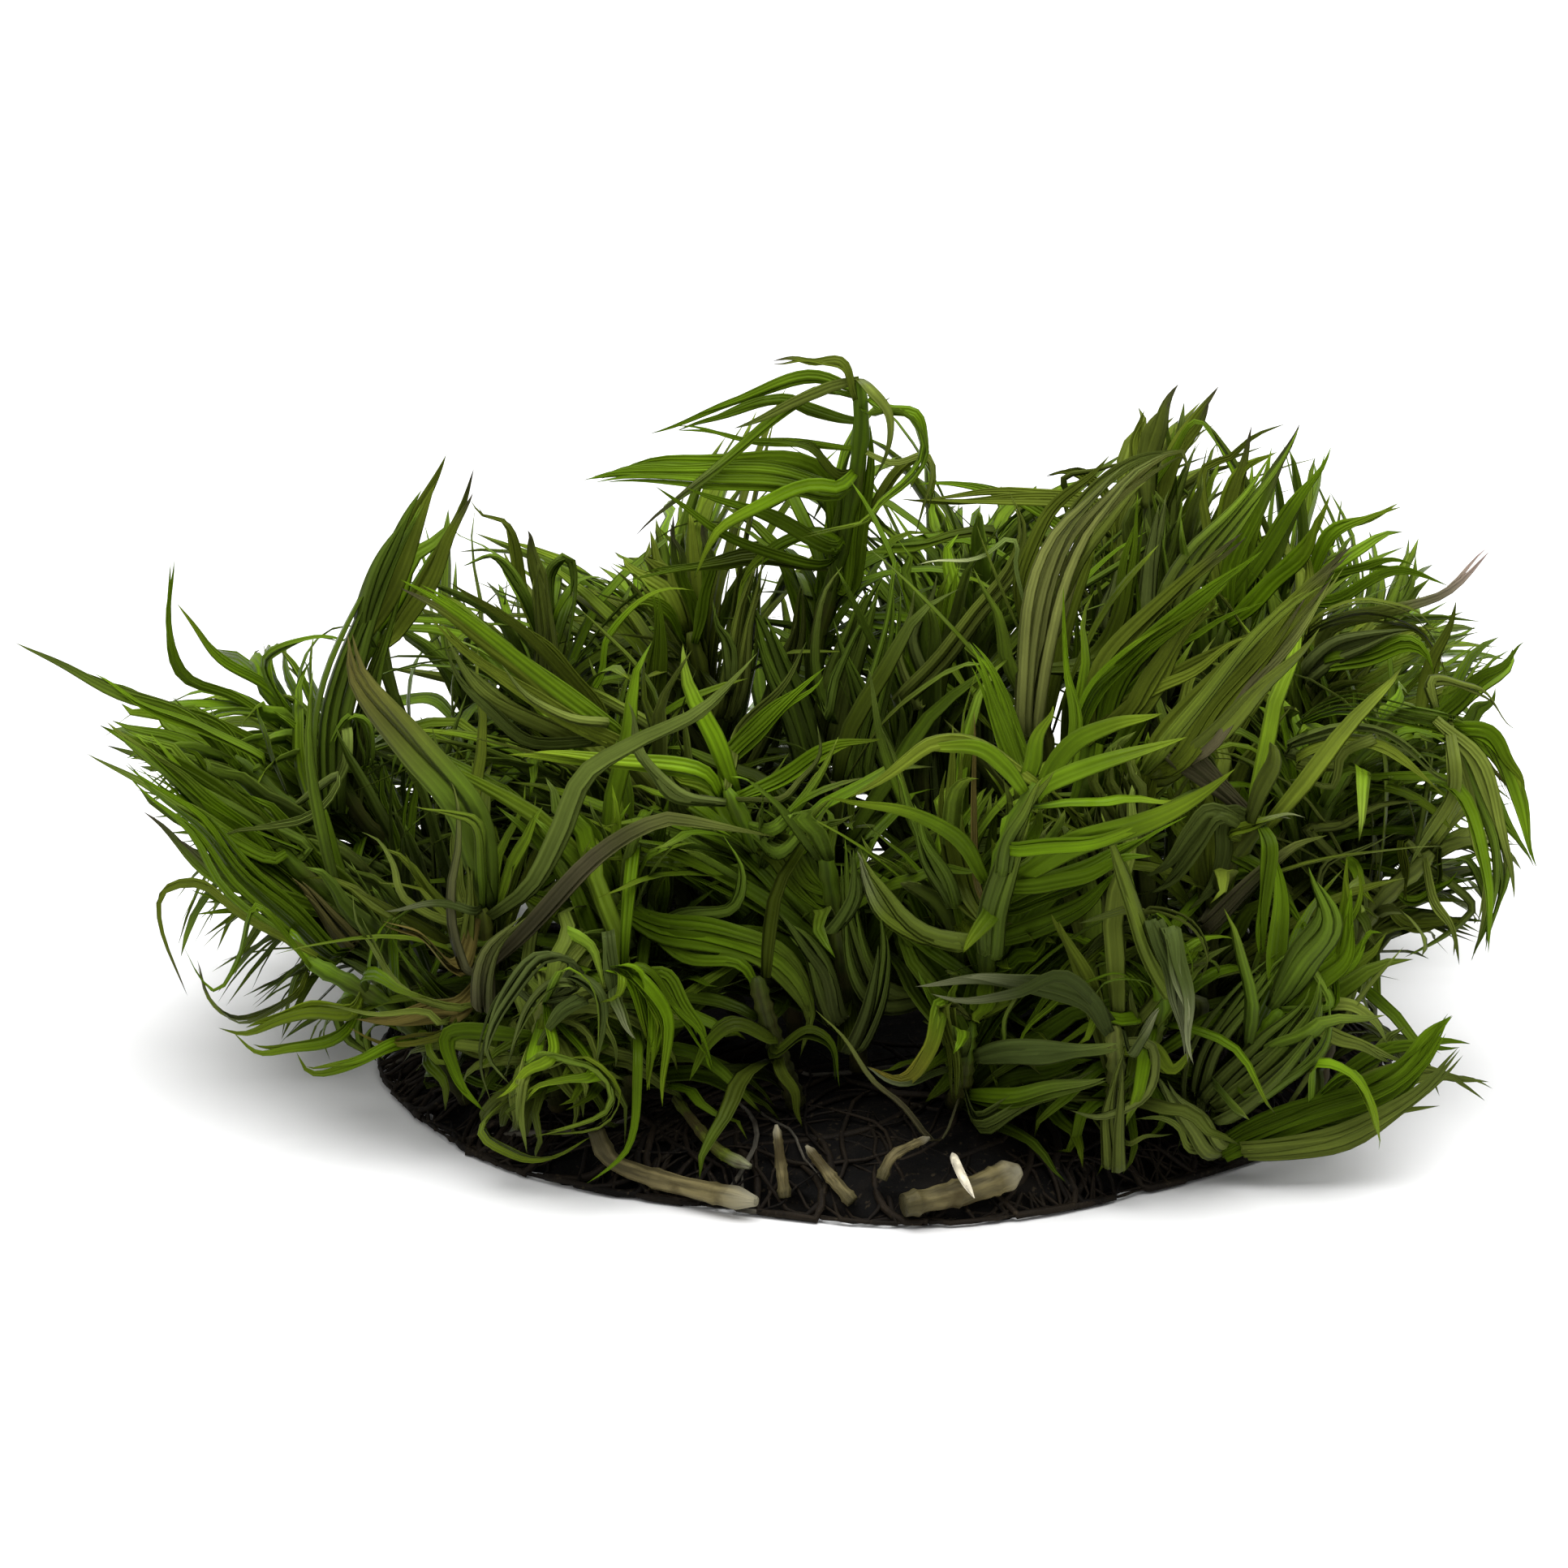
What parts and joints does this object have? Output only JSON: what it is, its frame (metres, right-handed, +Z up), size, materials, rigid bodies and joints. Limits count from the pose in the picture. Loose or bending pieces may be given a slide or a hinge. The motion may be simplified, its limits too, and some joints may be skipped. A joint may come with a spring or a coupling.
{
  "type": "water plant clump",
  "caption": "Rounded clump of a water plant: leafy shoots with whorls of narrow, curling leaves on a flat-cut root mat, with pale cut stems at its front.",
  "frame": {"origin": "centre of the root mat's flat underside, on the surface the clump rests on", "axes": "+Z up; +X to the right across the widest side, as the picture shows it; +Y away from the viewer"},
  "size_m": [0.1006, 0.0926, 0.0466],
  "materials": {
    "leaf_bright": "moist, half gloss, bright yellow-green leaf",
    "leaf_green": "moist, half gloss, mid-green leaf",
    "leaf_olive": "moist, half gloss, olive leaf with browned tips",
    "leaf_dark": "moist, half gloss, dark green leaf",
    "leaf_pale": "moist, half gloss, pale grey-green leaf",
    "root_mat": "matt, nearly black tangle of roots",
    "bare_stem": "satin, pale tan cut stem",
    "root": "satin, off-white root"
  },
  "bodies": {
    "root": {"root_mat": "root_mat", "shoot_left_low": "leaf_green", "shoot_left_tip": "leaf_green", "shoot_left_thin": "leaf_bright", "shoot_left_curls": "leaf_bright", "shoot_left_upright": "leaf_green", "shoot_left_round": "leaf_green", "shoot_left_inner": "leaf_bright", "shoot_olive_strands": "leaf_olive", "shoot_brown_tip": "leaf_olive", "shoot_knot": "leaf_pale", "shoot_knot_green": "leaf_bright", "shoot_drooping": "leaf_green", "shoot_mid_left_front": "leaf_bright", "shoot_mid_left_back": "leaf_olive", "shoot_top_centre": "leaf_bright", "shoot_centre_left": "leaf_green", "shoot_star": "leaf_bright", "shoot_hooked": "leaf_bright", "shoot_centre_back": "leaf_green", "shoot_olive_strap": "leaf_olive", "shoot_top_right": "leaf_dark", "shoot_right_spikes": "leaf_green", "shoot_blades": "leaf_bright", "shoot_big_blade": "leaf_olive", "shoot_right_upper": "leaf_green", "shoot_pink_tip": "leaf_olive", "shoot_right_sweep_high": "leaf_green", "shoot_right_sweep": "leaf_bright", "shoot_right_lattice": "leaf_pale", "shoot_right_inner": "leaf_olive", "shoot_right_fan": "leaf_bright", "shoot_right_low": "leaf_pale", "shoot_right_centre": "leaf_bright", "shoot_low_right": "leaf_pale", "shoot_low_centre": "leaf_green", "shoot_interior": "leaf_dark", "shoot_front_dark": "leaf_dark", "shoot_top_inner": "leaf_green", "shoot_back_right": "leaf_green", "shoot_back_top_right": "leaf_olive", "shoot_back_top": "leaf_green", "shoot_back_top_left": "leaf_bright", "shoot_back_left": "leaf_green", "shoot_back_low_left": "leaf_olive", "shoot_back_far_left": "leaf_green", "shoot_back_low_mid": "leaf_bright", "shoot_back_low": "leaf_green", "shoot_back_low_right": "leaf_green", "cut_stem_left": "bare_stem", "cut_stem_right": "bare_stem", "stub_left": "bare_stem", "stub_middle": "bare_stem", "stub_right": "bare_stem", "stem_dark_left": "leaf_dark", "root_white": "root"}
  },
  "joints": []
}
